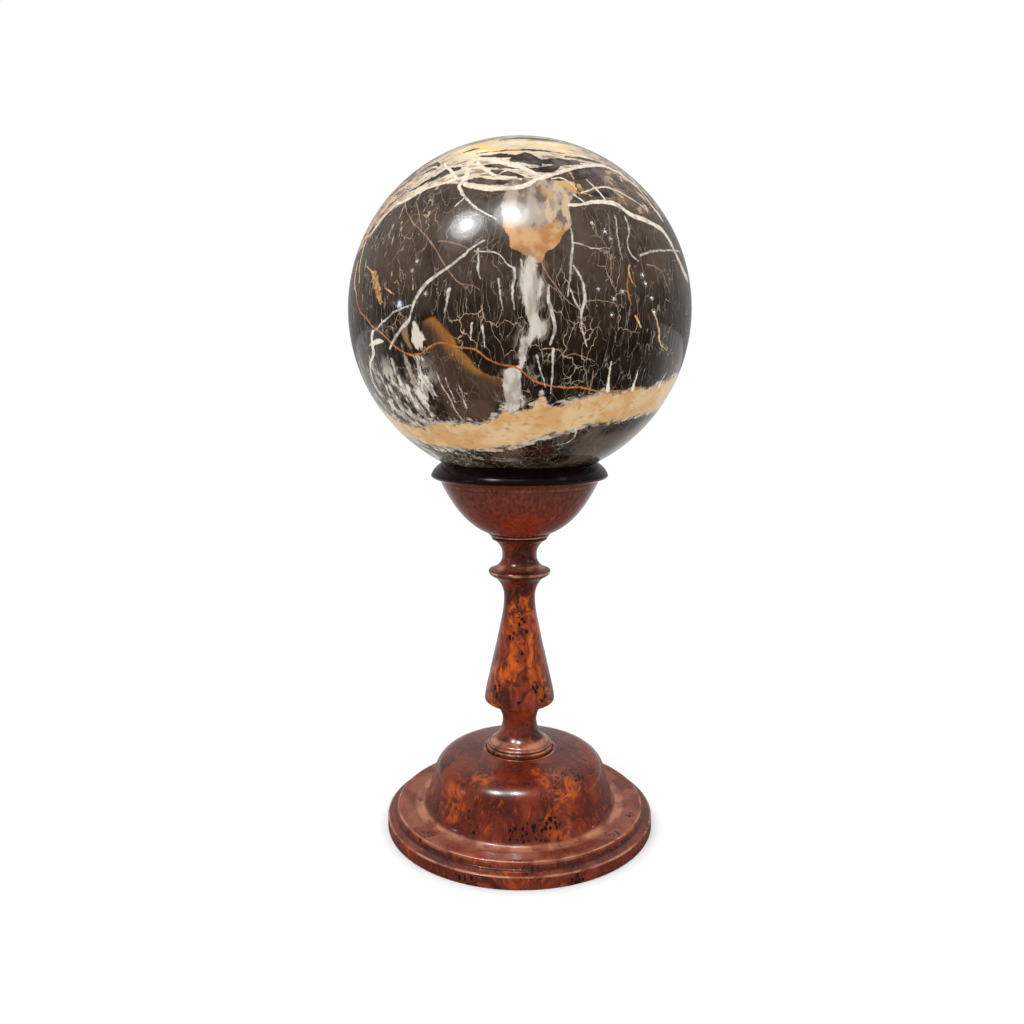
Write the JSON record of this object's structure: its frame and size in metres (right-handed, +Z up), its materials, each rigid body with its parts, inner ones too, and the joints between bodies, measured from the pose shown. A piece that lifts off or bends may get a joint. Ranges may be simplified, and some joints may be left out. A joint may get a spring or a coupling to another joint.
{
  "type": "decorative sphere on stand",
  "caption": "Solid polished marble ball resting in the cup of a turned burl-wood stand with a tapered stem and a round domed base.",
  "frame": {"origin": "centre of the underside of the base, on the surface that the stand rests on", "axes": "+Z up along the turning axis of the stand and through the centre of the sphere; +Y away from the viewer who faces the side that shows in the reference, +X to that viewer's right"},
  "size_m": [0.25, 0.25, 0.5008],
  "materials": {
    "burl_wood": "polished",
    "marble": "polished"
  },
  "bodies": {
    "root": {"base": "burl_wood", "stem": "burl_wood", "cup": "burl_wood", "marble_sphere": "marble"}
  },
  "joints": []
}
